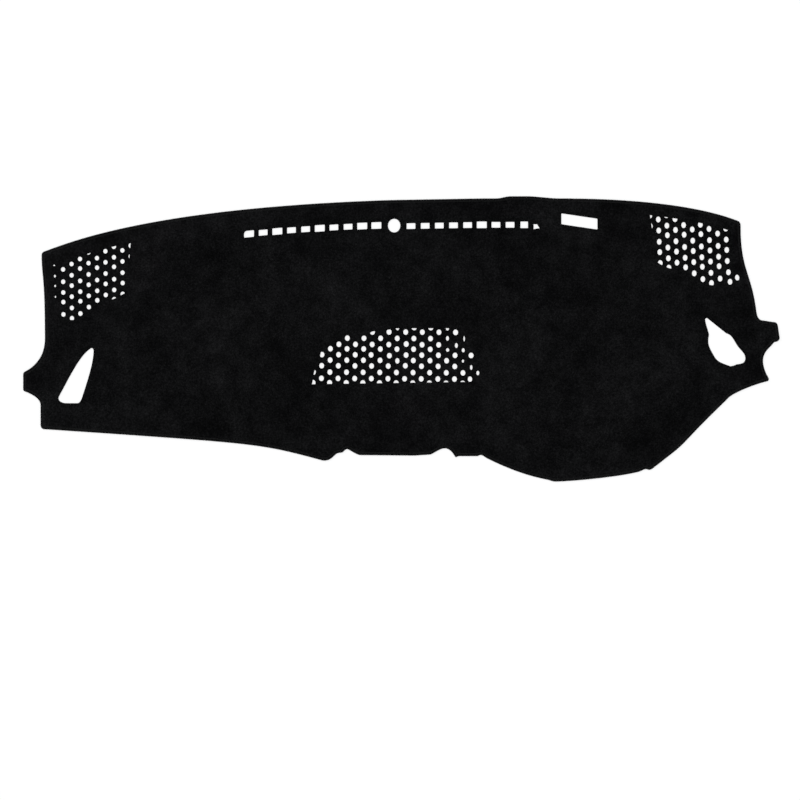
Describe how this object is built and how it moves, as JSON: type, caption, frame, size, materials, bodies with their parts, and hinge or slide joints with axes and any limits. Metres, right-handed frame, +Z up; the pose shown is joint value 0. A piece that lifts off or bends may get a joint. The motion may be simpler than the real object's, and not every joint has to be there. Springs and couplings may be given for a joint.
{
  "type": "dashboard cover mat",
  "caption": "Flat felt mat cut to the top of a car dashboard, with demister slots, a round sensor hole, side vent openings and three fields of small punched holes.",
  "frame": {"origin": "middle of the outline's box, on the underside of the mat", "axes": "+X along the dashboard to the driver's side, +Y towards the windscreen, +Z up out of the felt"},
  "size_m": [1.4, 0.528, 0.004],
  "materials": {
    "felt": "matt needle-punched felt, near black"
  },
  "bodies": {
    "root": {"dashboard_mat": "felt"}
  },
  "joints": []
}
